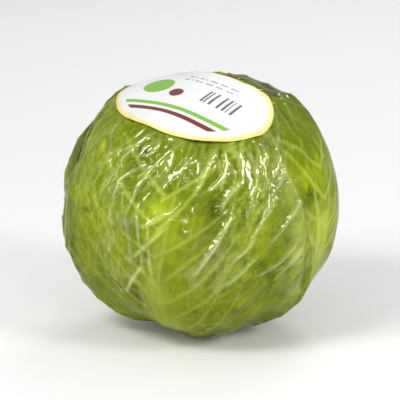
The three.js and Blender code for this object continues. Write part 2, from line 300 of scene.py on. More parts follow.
class Patch:
    """A flat patch laid on the ball about a middle direction, its distances kept true."""

    def __init__(self, ahead, lean=0):
        self.ahead = ahead
        level = unit(np.cross((0, 0, 1), ahead))
        turn = math.radians(lean)
        self.side = level * math.cos(turn) + np.cross(ahead, level) * math.sin(turn)
        self.up = np.cross(ahead, self.side)

    def direction(self, x, y):
        far = np.hypot(x, y)
        turn = far / MEAN_RADIUS
        spread = np.sin(turn) / np.maximum(far, TINY)
        parts = (np.cos(turn), self.ahead), (x * spread, self.side), (y * spread, self.up)
        return unit(sum(share[..., None] * axis for share, axis in parts))


print("straight up is", direction_at(0, 180).round(3))

# %% [markdown]
# How far out a piece lies is felt with rays. One from the middle outwards finds a piece's inner
# face, and one from far outside back to the middle finds the outermost face of a whole stack. Rays
# give rough numbers, so they are smoothed over the net, and soft random waves keep a net from
# looking machine-made. The Shrinkwrap modifier comes close to this, but it can't aim its rays
# from one middle point.


# %% Measuring how far out a piece lies
def tree_of(obj):
    mesh = obj.data
    corners = [v.co.copy() for v in mesh.vertices]
    return BVHTree.FromPolygons(corners, [tuple(p.vertices) for p in mesh.polygons])


def inner_reach(tree, directions):
    """How far out each direction first meets the piece, or is closest to it."""
    found = np.empty(len(directions))
    for i, row in enumerate(directions):
        ray = Vector(row)
        hit = tree.ray_cast(HEART, ray)[0]
        if hit is None:
            hit = tree.find_nearest(HEART + ray * MEAN_RADIUS)[0]
        found[i] = (hit - HEART).length
    return found


def outer_reach(tree, directions):
    """How far out each direction leaves the piece for good, or 0 where it misses the piece."""
    found = np.zeros(len(directions))
    for i, row in enumerate(directions):
        ray = Vector(row)
        hit = tree.ray_cast(HEART + ray * FAR_OUT, -ray)[0]
        if hit is not None:
            found[i] = (hit - HEART).length
    return found


print("rays are ready")


# %% Smoothing a net, and random ripples over it
def blurred(field, passes, closed=False):
    """The field with each knot drawn to its neighbours, and joined round the side if closed."""
    for _ in range(passes):
        wide = np.pad(field, ((1, 1), (0, 0)), mode="edge")
        wide = np.pad(wide, ((0, 0), (1, 1)), mode="wrap" if closed else "edge")
        rows = wide[:-2] + 2 * wide[1:-1] + wide[2:]
        field = (rows[:, :-2] + 2 * rows[:, 1:-1] + rows[:, 2:]) / 16
    return field


def spread_out(field, steps):
    """The field with each knot raised to the highest of its neighbours."""
    for _ in range(steps):
        wide = np.pad(field, 1, mode="edge")
        rows = np.maximum(np.maximum(wide[:-2], wide[1:-1]), wide[2:])
        field = np.maximum(np.maximum(rows[:, :-2], rows[:, 1:-1]), rows[:, 2:])
    return field


RIPPLE_WAVES = 24
RIPPLE_SPREAD = (0.7, 1.5)
RIPPLE_PEAK = 1.6


def ripples(points, size, rng):
    """Soft random waves through the points, about size apart, from -1 to 1."""
    total = np.zeros(points.shape[:-1])
    for _ in range(RIPPLE_WAVES):
        heading = unit(rng.normal(size=points.shape[-1]))
        pace = 2 * math.pi / (size * rng.uniform(*RIPPLE_SPREAD))
        total += np.cos(points @ heading * pace + rng.uniform(0, 2 * math.pi))
    return np.clip(total / math.sqrt(RIPPLE_WAVES), -RIPPLE_PEAK, RIPPLE_PEAK) / RIPPLE_PEAK


def smooth(value, low, high):
    """0 below low, 1 above high, and smooth in between."""
    share = np.clip((value - low) / (high - low), 0, 1)
    return share * share * (3 - 2 * share)


print("nets can be smoothed")


# %% [markdown]
# A net becomes a mesh the way it would be modelled by hand: a grid is added with the primitive
# operator, which also gives it a UV map, and then its vertices are laid out. Operators can't know
# what lies under a leaf, so that one move is done by numbers. A Solidify modifier then gives the
# sheet its thickness.


# %% From a net to a sheet
SEAM = 0.001 * MM


def sheet_object(name, points):
    """A grid whose vertices lie at points, an array of rows, columns and places."""
    rows, columns = points.shape[:2]
    bpy.ops.object.select_all(action="DESELECT")
    bpy.ops.mesh.primitive_grid_add(x_subdivisions=columns - 1, y_subdivisions=rows - 1, size=2)
    piece = bpy.context.object
    piece.name = piece.data.name = name
    piece.data.vertices.foreach_set("co", points.reshape(-1))
    bpy.ops.object.shade_smooth()
    return piece


def paint(piece, name, *channels):
    """Stores up to three numbers from 0 to 1 at each vertex, as a colour."""
    colours = np.ones((len(piece.data.vertices), 4))
    for i, channel in enumerate(channels):
        colours[:, i] = np.clip(channel.reshape(-1), 0, 1)
    layer = piece.data.color_attributes.new(name, "FLOAT_COLOR", "POINT")
    layer.data.foreach_set("color", colours.reshape(-1))


def close_seams(piece):
    """Joins the vertices that lie on one another, where a net meets itself."""
    bpy.ops.object.mode_set(mode="EDIT")
    bpy.ops.mesh.select_all(action="SELECT")
    bpy.ops.mesh.remove_doubles(threshold=SEAM)
    bpy.ops.object.mode_set(mode="OBJECT")


def thicken(piece, thickness):
    """Gives a sheet a back, thickness further in."""
    bpy.context.view_layer.objects.active = piece
    wall = piece.modifiers.new("wall", "SOLIDIFY")
    wall.thickness = thickness
    wall.offset = -1
    bpy.ops.object.modifier_apply(modifier=wall.name)


def wear(piece, finish, slot, *nodes):
    """The piece's finish and the CAD nodes that it stands for. The slot is not used."""
    piece.data.materials.clear()
    piece.data.materials.append(finish)
    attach(piece, "root")
    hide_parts(*nodes)
    triangles = sum(len(p.vertices) - 2 for p in piece.data.polygons)
    print(piece.name, "has", triangles, "triangles")


print("sheets can be made")

# %% [markdown]
# The plan of the wrapper leaves is the same as in the CAD source: each grows from the stem, turned
# by the golden angle from the last, and the inner ones reach further over the crown. The margin of
# a leaf waves in and out, by the same seeded draws as in the solids.

# %% The plan of a wrapper leaf
LEAF_COUNT = 8
LEAF_TURN = 137.5
OUTER_LEAF_AZIMUTH = -112
LEAF_LENGTHS = (172 * MM, 150 * MM)
LEAF_BASES = (20.8 * MM, 19 * MM)
LEAF_BASE_RADIUS = 9 * MM
LEAF_WIDTH_SHARE = 0.86
LEAF_LOBE_TURN = 96
LEAF_BEND = 12 * MM
LEAF_OUTLINE_TURN = 0.76
LEAF_OUTLINE_POWER = 0.72
LEAF_COLUMN_CROWDING = 1.25
RUFFLE_START = 0.62
RUFFLE_REACH = 4 * MM
CAD_LEAF_COLUMNS = 27
CAD_SEED = 11


def mix(low, high, share):
    return low + (high - low) * share


def cad_random(seed):
    """The random numbers that the CAD source draws."""
    keep = 0xFFFFFFFF
    state = seed
    while True:
        state = (state + 0x6D2B79F5) & keep
        t = ((state ^ (state >> 15)) * (1 | state)) & keep
        t = ((t + (((t ^ (t >> 7)) * (61 | t)) & keep)) & keep) ^ t
        yield ((t ^ (t >> 14)) & keep) / 4294967296


cad_draws = cad_random(CAD_SEED)
leaf_waves = [
    [(column % 2) * mix(0.6, 1, next(cad_draws)) for column in range(CAD_LEAF_COLUMNS)]
    for _ in range(LEAF_COUNT)
]
print("waves of the first leaf:", np.round(leaf_waves[0], 2))


# %% The net of a wrapper leaf
INNER_LEAF_KNOTS = (141, 80)
OUTER_LEAF_KNOTS = (261, 110)


class LeafNet:
    """The knots of one wrapper leaf: across and along it in metres, and as directions."""

    def __init__(self, rank):
        columns, rows = INNER_LEAF_KNOTS if rank < LEAF_COUNT / 2 else OUTER_LEAF_KNOTS
        share = rank / (LEAF_COUNT - 1)
        self.length = mix(*LEAF_LENGTHS, share)
        azimuth = OUTER_LEAF_AZIMUTH - (LEAF_COUNT - 1 - rank) * LEAF_TURN
        half = (mix(*LEAF_BASES, share) + self.length / 2) / MEAN_RADIUS
        patch = Patch(direction_at(azimuth, math.degrees(half)))
        side = np.linspace(-1, 1, columns)[None, :]
        turn = LEAF_LOBE_TURN * np.sign(side) * np.abs(side) ** LEAF_COLUMN_CROWDING
        self.row = np.linspace(0, 1, rows)[:, None]
        self.edge = smooth(self.row, RUFFLE_START, 1)
        wave = self.waves_at(side, leaf_waves[rank])
        reach = self.outline(turn) - RUFFLE_REACH * self.edge * wave
        far = mix(LEAF_BASE_RADIUS, reach, self.row)
        self.across = far * np.sin(np.radians(turn)) * LEAF_WIDTH_SHARE
        self.ahead = far * np.cos(np.radians(turn))
        self.along = np.clip(self.ahead / self.length, 0, 1)
        bend = LEAF_BEND * (1 if rank % 2 else -1) * self.along**2
        self.directions = patch.direction(self.across + bend, self.ahead - self.length / 2)

    def outline(self, turn):
        """How far from its base the leaf reaches, in a direction turned from its rib."""
        return self.length * np.cos(np.radians(turn * LEAF_OUTLINE_TURN)) ** LEAF_OUTLINE_POWER

    def waves_at(self, side, knots):
        """How far the margin draws in at each column, from the few draws of the solids."""
        place = (side + 1) / 2 * (CAD_LEAF_COLUMNS - 1)
        low = np.minimum(place.astype(int), CAD_LEAF_COLUMNS - 2)
        knots = np.array(knots)
        return mix(knots[low], knots[low + 1], smooth(place - low, 0, 1))


print("an outer leaf's net has", math.prod(OUTER_LEAF_KNOTS), "knots")

# %% [markdown]
# Lettuce veins branch like a river. A broad pale rib runs up the middle, side veins leave it at a
# slant and arch towards the tip, and they fork again and again before they reach the margin. Each
# vein is walked step by step, and its dots go in a tree that finds the closest one to any knot.

# %% Growing the veins of a leaf
VEIN_STEP = 1.6 * MM
VEIN_WIDTHS = (4.2 * MM, 1.5 * MM, 1.1 * MM, 0.9 * MM)
THINNEST_VEIN = 0.8 * MM
BEYOND_THE_LEAF = 1
VEIN_FORKS = (BEYOND_THE_LEAF, 11 * MM, 8 * MM, BEYOND_THE_LEAF)
VEIN_RUNS = (BEYOND_THE_LEAF, BEYOND_THE_LEAF, 30 * MM, 13 * MM)
VEIN_END = 0.97
THIN_END = 0.25
SIDE_VEINS = 8
FIRST_SIDE_VEIN = 0.035
SIDE_VEIN_PITCH = 0.098
SIDE_VEIN_SLANT = (50, 60)
FORK_SLANT = (32, 52)
FORK_CURL = 0.6
VEIN_WANDER = 0.9


class Veins:
    """The dots of a leaf's veins, level by level, with each dot's share of its level's width."""

    def __init__(self, net, rng):
        self.net = net
        self.rng = rng
        self.dots = [[], [], [], []]
        self.walk(0, 0, 0, 0, 0)
        for side in (-1, 1):
            for i in range(SIDE_VEINS):
                start = FIRST_SIDE_VEIN + SIDE_VEIN_PITCH * i + rng.uniform(-0.012, 0.012)
                start *= net.length
                heading = side * rng.uniform(*SIDE_VEIN_SLANT)
                self.walk(1, 0, start, heading, -side * (0.5 - 0.03 * i))
        self.trees = [self.tree_of(level) for level in self.dots]

    def inside(self, x, y, share):
        turn = math.degrees(math.atan2(x / LEAF_WIDTH_SHARE, y))
        if abs(turn) > LEAF_LOBE_TURN:
            return False
        return math.hypot(x / LEAF_WIDTH_SHARE, y) < share * self.net.outline(turn)

    def walk(self, level, x, y, heading, curl):
        """Walks one vein and starts the veins that fork off it."""
        gone, side = 0, self.rng.choice((-1, 1))
        fork = VEIN_FORKS[level] * self.rng.uniform(0.5, 1)
        longest = VEIN_RUNS[level] * self.rng.uniform(0.7, 1.2)
        while gone < longest and self.inside(x, y, VEIN_END):
            left = 1 - min(gone / (longest if level > 1 else self.net.length), 1)
            self.dots[level].append((x, y, max(left, THIN_END)))
            heading += (curl + self.rng.normal(0, VEIN_WANDER)) * VEIN_STEP / MM
            x += math.sin(math.radians(heading)) * VEIN_STEP
            y += math.cos(math.radians(heading)) * VEIN_STEP
            gone += VEIN_STEP
            if gone > fork:
                fork += VEIN_FORKS[level] * self.rng.uniform(0.7, 1.3)
                turned = heading + side * self.rng.uniform(*FORK_SLANT)
                self.walk(level + 1, x, y, turned, -side * FORK_CURL)
                side = -side

    def tree_of(self, dots):
        tree = kdtree.KDTree(len(dots))
        for i, (x, y, _) in enumerate(dots):
            tree.insert((x, y, 0), i)
        tree.balance()
        return tree

    def nearest(self, level, across, ahead):
        """For each knot, how far the closest vein of a level is, and that vein's share of width."""
        found = np.empty((across.size, 2))
        dots = self.dots[level]
        for i, (x, y) in enumerate(zip(across.flat, ahead.flat)):
            _, index, far = self.trees[level].find((x, y, 0))
            found[i] = far, dots[index][2]
        return found.reshape(*across.shape, 2).transpose(2, 0, 1)


print("veins in", len(VEIN_WIDTHS), "levels")

# %% [markdown]
# The relief of a leaf is seen from its outer side, where the veins stand proud and the blade puffs
# up a little between them. The heights stay small, because the film presses the leaves together.

# %% The relief of a wrapper leaf
RIB_HEIGHT = 2.2 * MM
RIB_WIDTH_AT_BASE = 11 * MM
RIB_WIDTH_AT_TIP = 1.5 * MM
VEIN_HEIGHTS = (0.9 * MM, 0.75 * MM, 0.42 * MM, 0.25 * MM)
BLISTER_HEIGHT = 0.85 * MM
BLISTER_SIZE = 3.2 * MM
BLISTER_PATCH = 17 * MM


def leaf_relief(net, rng):
    """Heights over the blade, the share of vein, and how far the blade puffs up."""
    veins = Veins(net, rng)
    height = np.zeros(net.across.shape)
    share_of_vein = np.zeros(net.across.shape)
    closest = np.full(net.across.shape, 1.0)
    for level, (width, rise) in enumerate(zip(VEIN_WIDTHS, VEIN_HEIGHTS)):
        far, left = veins.nearest(level, net.across, net.ahead)
        half = np.maximum(width * left, THINNEST_VEIN)
        body = np.exp(-((far / half) ** 2))
        height = np.maximum(height, rise * left * body)
        share_of_vein = np.maximum(share_of_vein, body * (0.55 + 0.45 * left) * (1 - 0.17 * level))
        closest = np.minimum(closest, far)
    puff = 1 - np.exp(-((closest / BLISTER_SIZE) ** 2))
    puff *= 0.7 + 0.5 * ripples(np.stack((net.across, net.ahead), -1), BLISTER_PATCH, rng)
    rib_width = RIB_WIDTH_AT_BASE * (1 - net.along) ** 0.8 + RIB_WIDTH_AT_TIP
    rib = np.exp(-((net.across / rib_width) ** 2)) * (1 - net.along) ** 1.3
    height = height + BLISTER_HEIGHT * puff * (1 - rib) + RIB_HEIGHT * rib
    share_of_vein = np.maximum(share_of_vein, rib**0.8)
    return height, share_of_vein, puff


print("the rib rises", RIB_HEIGHT / MM, "mm at the stem")

# %% [markdown]
# Each leaf is then pressed on the pieces below it. Its first guess is the inner face of its solid,
# moved out a little: solid blades are thicker than real ones, so without that the head would come
# out smaller than the solids. Where the finer pieces below stand higher than the guess, the leaf is
# lifted clear of them, and the lift fades out round about, as a real leaf can't jump up by itself.

# %% Pressing a sheet on what is below it
LEAF_THICKNESS = 0.55 * MM
LEAF_GAP = 0.12 * MM
FULLNESS = 1.6 * MM
FULLNESS_FADES = (-0.95, -0.6)


def fullness(directions):
    """How far the fine pieces move out, which fades to nothing towards the foot."""
    return FULLNESS * smooth(directions[..., 2], *FULLNESS_FADES)


class Stack:
    """All the pieces that are in place so far, from the middle of the head outwards."""

    def __init__(self):
        self.corners = []
        self.faces = []

    def add(self, piece):
        start = len(self.corners)
        self.corners += [v.co.copy() for v in piece.data.vertices]
        self.faces += [[start + i for i in p.vertices] for p in piece.data.polygons]

    def height(self, directions):
        tree = BVHTree.FromPolygons(self.corners, self.faces)
        flat = outer_reach(tree, directions.reshape(-1, 3))
        return flat.reshape(directions.shape[:-1])


def lifted(radius, floor_height, steps=2, passes=3):
    """The sheet raised where it would cut into floor_height. Each rise widens by steps, softly."""
    short = np.maximum(floor_height - radius, 0)
    return radius + blurred(spread_out(short, steps), passes)


stack = Stack()
print("the stack is empty")

# %% [markdown]
# The tight heart of the head shows only at the crown, in the ring of wrapper leaves. It starts as
# a UV sphere, whose vertices are moved out to the heart's own outline. The edges of its last
# leaves are low steps with a waved line.

# %% The heart of the head
HEART_RADIUS = 57 * MM
HEART_CROWN = 63 * MM
HEART_FOOT = 47.5 * MM
CROWN_SQUARENESS = 2.08
FOOT_SQUARENESS = 2.35
FOLD_RISE = 1.4 * MM
FOLD_REACHES = (74, 80, 86)
FOLD_FROM_FOOT = 100
HEART_UNEVENNESS = 0.5 * MM
# How far the heart counts as puffed up, which only sets how little painted furrow shade it gets.
HEART_PUFF_FOR_SHADE = 0.85
HEART_SEED = 5
HEART_KNOTS = {"segments": 180, "ring_count": 120}


def heart_outline(directions):
    """The heart's radius: a squared ball, taller above the middle than below it."""
    upper = directions[..., 2] > 0
    tall = np.where(upper, HEART_CROWN, HEART_FOOT)
    power = np.where(upper, CROWN_SQUARENESS, FOOT_SQUARENESS)
    level = np.hypot(directions[..., 0], directions[..., 1]) / HEART_RADIUS
    upright = np.abs(directions[..., 2]) / tall
    return (level**power + upright**power) ** (-1 / power)


def heart_folds(directions, rng):
    """The height of the last leaves over the heart, with waved edges, and a line along each."""
    height, line = 0, 0
    for k, reach in enumerate(FOLD_REACHES):
        azimuth = OUTER_LEAF_AZIMUTH - (LEAF_COUNT + k) * LEAF_TURN
        facing = directions @ direction_at(azimuth, FOLD_FROM_FOOT)
        angle = np.degrees(np.arccos(np.clip(facing, -1, 1)))
        angle = angle + 2.2 * ripples(directions, 0.28, rng) + 0.8 * ripples(directions, 0.1, rng)
        height = height + FOLD_RISE * smooth(reach - angle, -0.4, 1.2)
        line = np.maximum(line, np.exp(-(((reach - angle - 1) / 1.3) ** 2)))
    return height, line


bpy.ops.object.select_all(action="DESELECT")
bpy.ops.mesh.primitive_uv_sphere_add(radius=1, **HEART_KNOTS)
heart = bpy.context.object
heart.name = heart.data.name = "heart_leaves"
rng = np.random.default_rng(HEART_SEED)
places = unit(np.array([v.co for v in heart.data.vertices]))
folds, fold_line = heart_folds(places, rng)
heart_radius = heart_outline(places) + folds + HEART_UNEVENNESS * ripples(places, 0.22, rng)
heart_radius += fullness(places)
heart.data.vertices.foreach_set("co", placed(places, heart_radius).reshape(-1))
bpy.ops.object.shade_smooth()
greener = 0.3 + 0.3 * ripples(places, 0.5, rng)
# The heart's third mark is one even puff, which keeps its painted furrow shade light.
paint(heart, "leaf_marks", fold_line, greener, np.full_like(fold_line, HEART_PUFF_FOR_SHADE))
stack.add(heart)
print("the heart is", round(2 * heart_radius.mean() / MM), "mm across")

# %% [markdown]
# Now the leaves are laid from the innermost outwards, because each has to know what it lies on. A
# leaf flattens towards its margin, where the film holds it down, and ends in a fine frill. Every
# vertex keeps three marks for the finish: how much vein it is, how close to the margin it lies,
# and how far the blade puffs up there, which also sets the painted shade in its furrows.

# %% The wrapper leaves
LEAF_SEED = 100
LEAF_SMOOTHING = 10
LEAF_UNEVENNESS = 0.5 * MM
MARGIN_FLATNESS = 0.6
FRILL_RISE = 0.7 * MM


def outer_face(net, solid, relief, rng):
    """How far out each knot of a leaf's outer face lies, once it is pressed on the stack."""
    flat = net.directions.reshape(-1, 3)
    radius = inner_reach(tree_of(solid), flat).reshape(relief.shape)
    radius = blurred(radius, LEAF_SMOOTHING) + fullness(net.directions)
    radius += LEAF_UNEVENNESS * ripples(net.directions, 0.3, rng)
    radius = lifted(radius, stack.height(net.directions) + LEAF_GAP)
    frill = net.edge**2 * ripples(net.directions, 0.09, rng)
    relief = relief * (1 - MARGIN_FLATNESS * net.edge**4)
    return radius + LEAF_THICKNESS + relief + FRILL_RISE * frill


leaves = []
for rank in range(LEAF_COUNT):
    net = LeafNet(rank)
    rng = np.random.default_rng(LEAF_SEED + rank)
    relief, share_of_vein, puff = leaf_relief(net, rng)
    node = f"wrapper_leaf_{rank + 1}"
    outer = outer_face(net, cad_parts[node], relief, rng)
    leaf = sheet_object(node + "_blade", placed(net.directions, outer))
    margin = np.broadcast_to(net.row, relief.shape) ** 1.3
    paint(leaf, "leaf_marks", share_of_vein, 0.75 * margin + 0.25 * net.along, puff)
    stack.add(leaf)
    thicken(leaf, LEAF_THICKNESS)
    leaves.append(leaf)
print(len(leaves), "leaves, the last out to", round(outer.max() / MM, 1), "mm")

# %% [markdown]
# Leaf green isn't one colour. The rib and the veins are almost white with a touch of green, the
# blade is yellow-green and turns greener towards its margin, and it lets some light through. A fine
# net of the smallest veins lies over it all, as a Voronoi pattern seen edge by edge. Shade is
# painted in too: the blade darkens in the furrows beside the veins and in random patches.

# %% The finish of the leaves
VEIN_COLOUR = (0.52, 0.57, 0.13)
VEIN_SHARE = 0.75
NET_MESH = 2.6 * MM
NET_COLOUR = (0.4, 0.45, 0.035)
BLADE_PALE = (0.46, 0.53, 0.016)
BLADE_GREEN = (0.225, 0.3, 0.002)
# The darkest green, for the painted shade in furrows and patches and for darker random tone.
BLADE_DEEP_AND_SHADE = (0.065, 0.105, 0.001)


def leaf_finish(name, paleness):
    finish = Finish(name)
    vein = finish.attribute("leaf_marks", 0)
    margin = finish.attribute("leaf_marks", 1)
    puff = finish.attribute("leaf_marks", 2)
    broad = finish.noise(24 * MM, 3, 0.6)
    fine = finish.noise(4 * MM, 4, 0.6)
    ripe = (margin + (broad - 0.5) * 2 - paleness).between(0.1, 0.85)
    green = finish.mix(ripe, BLADE_PALE, BLADE_GREEN)
    # Painted shade: the blade darkens in the furrows beside the veins, where it puffs up least.
    painted_furrow_shade = (1 - puff) * (1 - vein) * 0.5
    # Random darker patches of painted shade, standing for the shade between leaves.
    painted_shade_patches = finish.noise(14 * MM, 3, 0.6).between(0.52, 0.72)
    # Painted shade of the furrows and patches, with some random darker tone.
    shade_and_tone = (painted_furrow_shade + (fine - 0.5) * 0.5 + painted_shade_patches * 0.5).clamped()
    green = finish.mix(shade_and_tone, green, BLADE_DEEP_AND_SHADE)
    inputs = {"Vector": finish.place(), "Scale": 1 / NET_MESH, "Randomness": 1.0}
    net_lines = finish.node("ShaderNodeTexVoronoi", {"feature": "DISTANCE_TO_EDGE"}, inputs)
    net_lines = 1 - net_lines.between(0, 0.14)
    green = finish.mix(net_lines * broad * 0.45, green, NET_COLOUR)
    colour = finish.mix(vein.between(0.12, 0.95) * VEIN_SHARE, green, VEIN_COLOUR)
    height = fine * 0.35 + net_lines * 0.3
    shader = finish.principled(
        Base_Color=colour,
        Roughness=0.42 + fine * 0.16,
        Specular_IOR_Level=0.05,
        Subsurface_Weight=0.12,
        Subsurface_Radius=(0.6, 1.0, 0.2),
        Subsurface_Scale=2 * MM,
        Normal=finish.bump(height, 0.4 * MM),
    )
    return finish.show(shader)


inner_finish = leaf_finish("inner_leaf_green", 0.35)
outer_finish = leaf_finish("outer_leaf_green", 0.1)
wear(heart, inner_finish, "inner_leaf_green", "inner_head")
for rank, leaf in enumerate(leaves):
    inner = rank < LEAF_COUNT / 2
    slot_name = "inner_leaf_green" if inner else "outer_leaf_green"
    wear(leaf, inner_finish if inner else outer_finish, slot_name, f"wrapper_leaf_{rank + 1}")

# %% [markdown]
# The film is one sheet from its gathered mouth under the head up to the crown. It starts as a net
# that just clears the leaves and is then drawn taut, again and again: each knot moves to the mean
# of its neighbours but never into the leaves. So the film bridges the hollows between the leaves,
# as a real one does. Its seam runs up the back, and its columns stand closer at the front.

# %% The taut film
FILM_COLUMNS = 425
FILM_ROWS = 231
BACK_AZIMUTH = 90
FRONT_SHARE = 0.35
FILM_MOUTH = 5 * MM
FILM_GAP = 0.2 * MM
FLOOR_GAP = 0.02 * MM
STEM_FACE_REACH = 12
TAUT_ROUNDS = 40
TAUT_PASSES = 3
NEARLY_LEVEL = 0.001

mouth_angle = math.degrees(math.atan2(FILM_MOUTH, HEART.z))
even_turns = np.linspace(BACK_AZIMUTH, BACK_AZIMUTH + 360, FILM_COLUMNS)[None, :]
crowding = FRONT_SHARE * np.sin(np.radians(even_turns + BACK_AZIMUTH))
film_turns = even_turns - np.degrees(crowding)
film_rises = np.linspace(mouth_angle, 180, FILM_ROWS)[:, None]
film_directions = direction_at(film_turns, film_rises)
down = np.maximum(-film_directions[..., 2], NEARLY_LEVEL)
on_floor = (HEART.z - FLOOR_GAP) / down


def round_the_head(field):
    """The field with its last column made equal to its first."""
    return np.concatenate((field[:, :-1], field[:, :1]), axis=1)


def drawn_taut(floor_height):
    """The film drawn to the means of its neighbours, but never below floor_height."""
    low = radius = floor_height[:, :-1]
    for _ in range(TAUT_ROUNDS):
        radius = np.maximum(low, blurred(radius, TAUT_PASSES, closed=True))
    return np.concatenate((radius, radius[:, :1]), axis=1)


under_film = stack.height(film_directions)
stem_face = (HEART.z - stem_low.z) / down * (film_rises < STEM_FACE_REACH)
under_film = np.maximum(under_film, stem_face)
film_radius = drawn_taut(under_film + FILM_GAP)
print("the taut film is", round(2 * film_radius.mean() / MM, 1), "mm across")

# %% [markdown]
# Creases make the film look like film. Where it is pulled, it folds into bundles of narrow
# parallel ridges, sharp on top and steeper on one side. Each ridge runs from one point of the ball
# to another. The bundles under the label and beside it lie as on the real head, a few more lie low
# on the front, and all others are spread by chance.

# %% A crease and a bundle of creases
CREASE_SLIDE = 0.25
CREASE_LONGER = (-0.5, 0.3)
CREASE_SLANT = 0.22
CREASE_STRENGTH = (0.4, 1.1)
CREASE_BOW = 2.4 * MM


def crease(directions, start, end, width, rise, bow):
    """A sharp ridge from start to end, bowed aside in its middle: its heights and its crest."""
    pole = unit(np.cross(start, end))
    ahead = np.cross(pole, start)
    turn = np.arctan2(directions @ ahead, directions @ start)
    along = turn / math.atan2(end @ ahead, end @ start)
    taper = np.clip(4 * along * (1 - along), 0, 1)
    off = np.arcsin(np.clip(directions @ pole, -1, 1)) * MEAN_RADIUS - bow * taper
    slope = np.where(off > 0, 1 / width, 2 / width)
    ridge = np.clip(1 - np.abs(off) * slope, 0, 1)
    return np.stack((rise * ridge * taper**0.6, ridge**2 * taper**0.6))


def bundle(directions, start, end, count, gap, width, rise, rng):
    """A few almost parallel creases, gap apart, of uneven length and height."""
    start, end = direction_at(*start), direction_at(*end)
    pole, ahead = unit(np.cross(start, end)), end - start
    total = np.zeros((2, *directions.shape[:-1]))
    for i in range(count):
        aside = (i - (count - 1) / 2) * gap / MEAN_RADIUS * rng.uniform(0.6, 1.4)
        slide, longer = rng.normal(0, CREASE_SLIDE), rng.uniform(*CREASE_LONGER)
        slant = rng.normal(0, CREASE_SLANT)
        first = unit(start + pole * aside + ahead * (slide - longer / 2))
        aside += slant * np.linalg.norm(ahead)
        last = unit(end + pole * aside + ahead * (slide + longer / 2))
        strength = rng.uniform(*CREASE_STRENGTH)
        shape = width * rng.uniform(0.7, 1.3), rise * strength, rng.normal(0, CREASE_BOW)
        ridge = crease(directions, first, last, *shape)
        ridge[1] *= strength
        total = np.maximum(total, ridge)
    return total


print("creases can be laid")

# %% [markdown]
# Each row below plans one bundle: its two ends, as angles round the head and up from its foot, how
# many creases it has, and their gap, width and rise. The other rows come from seeded draws, so
# every run gives the same film.

# %% Creases in the film
FRONT_CREASES = (
    ((-138, 112), (-112, 130), 1, 0, 2.4 * MM, 1.7 * MM),
    ((-135, 123), (-115, 131), 1, 0, 2 * MM, 1.3 * MM),
    ((-130, 102), (-117, 116), 3, 6 * MM, 2 * MM, 1.1 * MM),
    ((-109, 114), (-101, 127), 5, 5 * MM, 2 * MM, 1.3 * MM),
    ((-85, 108), (-72, 122), 4, 5.5 * MM, 2.8 * MM, 1.8 * MM),
    ((-64, 113), (-61, 131), 4, 5 * MM, 2.2 * MM, 1.5 * MM),
    ((-24, 98), (-27, 118), 2, 7 * MM, 2.4 * MM, 1.4 * MM),
)
LOW_CREASES = (
    ((-67, 94), (-51, 111), 4, 5.5 * MM, 2.4 * MM, 1.6 * MM),
    ((-124, 70), (-108, 90), 2, 8 * MM, 2.6 * MM, 1.2 * MM),
    ((-93, 68), (-74, 86), 3, 7 * MM, 2.6 * MM, 1.3 * MM),
    ((-62, 70), (-46, 86), 3, 7 * MM, 2.2 * MM, 1.2 * MM),
)
RANDOM_BUNDLES = 40
RANDOM_LENGTH = (14 * MM, 42 * MM)
RANDOM_LEAN = (12, 32)
RANDOM_GAP = (4.5 * MM, 9 * MM)
RANDOM_WIDTH = (1.6 * MM, 2.8 * MM)
RANDOM_RISE = (0.5 * MM, 1.4 * MM)
FILM_SEED = 21
LOW_SEED = 4


def random_bundle(rng):
    """A row of a plan, drawn by chance."""
    start = rng.uniform(0, 360), math.degrees(math.acos(rng.uniform(-0.9, 0.8)))
    length, lean = rng.uniform(*RANDOM_LENGTH), math.radians(rng.normal(*RANDOM_LEAN))
    way = np.array(math.sin(lean) * length), np.array(math.cos(lean) * length)
    end = Patch(direction_at(*start)).direction(*way)
    end = math.degrees(math.atan2(end[1], end[0])), math.degrees(math.acos(-end[2]))
    count, gap = int(rng.integers(1, 6)), rng.uniform(*RANDOM_GAP)
    return start, end, count, gap, rng.uniform(*RANDOM_WIDTH), rng.uniform(*RANDOM_RISE)


def highest(plans, rng):
    """The heights and crests of many bundles, laid over one another."""
    total = np.zeros((2, *film_directions.shape[:-1]))
    for plan in plans:
        total = np.maximum(total, bundle(film_directions, *plan, rng))
    return total


rng = np.random.default_rng(FILM_SEED)
front = highest(FRONT_CREASES, rng)
spread = highest((random_bundle(rng) for _ in range(RANDOM_BUNDLES)), rng)
spread *= 0.75 + 0.45 * ripples(film_directions, 0.22, rng)
low = highest(LOW_CREASES, np.random.default_rng(LOW_SEED))
every_crease = np.maximum(np.maximum(front, spread), low)
creases, crests = (round_the_head(field) for field in every_crease)
print("creases rise up to", round(creases.max() / MM, 1), "mm")

# %% [markdown]
# Under the head the film is gathered, so its pleats run together like the spokes of a wheel. Two
# loose folds run up the sides, in the same places as in the solid. Under the label the film stays
# smooth, since the paper holds it flat. The vertices store three marks: how close to a crest they
# lie, how loose the film is, and in how many layers it lies.

# %% The pleats, the loose folds and the whole film
PLEATS = 58
PLEAT_RISE = 1.7 * MM
PLEAT_REACH = (22, 66)
PLEAT_CREST = 0.65
GATHER_REACH = (5, 30)
GATHER_LAYERS = 2.5
SLACK = 0.7 * MM
LOOSE_FOLD_RISE = 4.2 * MM
LOOSE_FOLD_WIDTH = 4.2
LOOSE_FOLD_REACH = (40, 62, 112, 134)
LOOSE_FOLDS = ((-38, -56), (158, 176))
LOOSE_FOLD_WAVER = 1.2
LOOSE_FOLD_WAVE = 7
LABEL_SIZE = (88 * MM, 63 * MM)
LABEL_TILT = 20
LABEL_AZIMUTH = -102
LABEL_LEAN = -24

label_patch = Patch(direction_at(LABEL_AZIMUTH, 180 - LABEL_TILT), LABEL_LEAN)


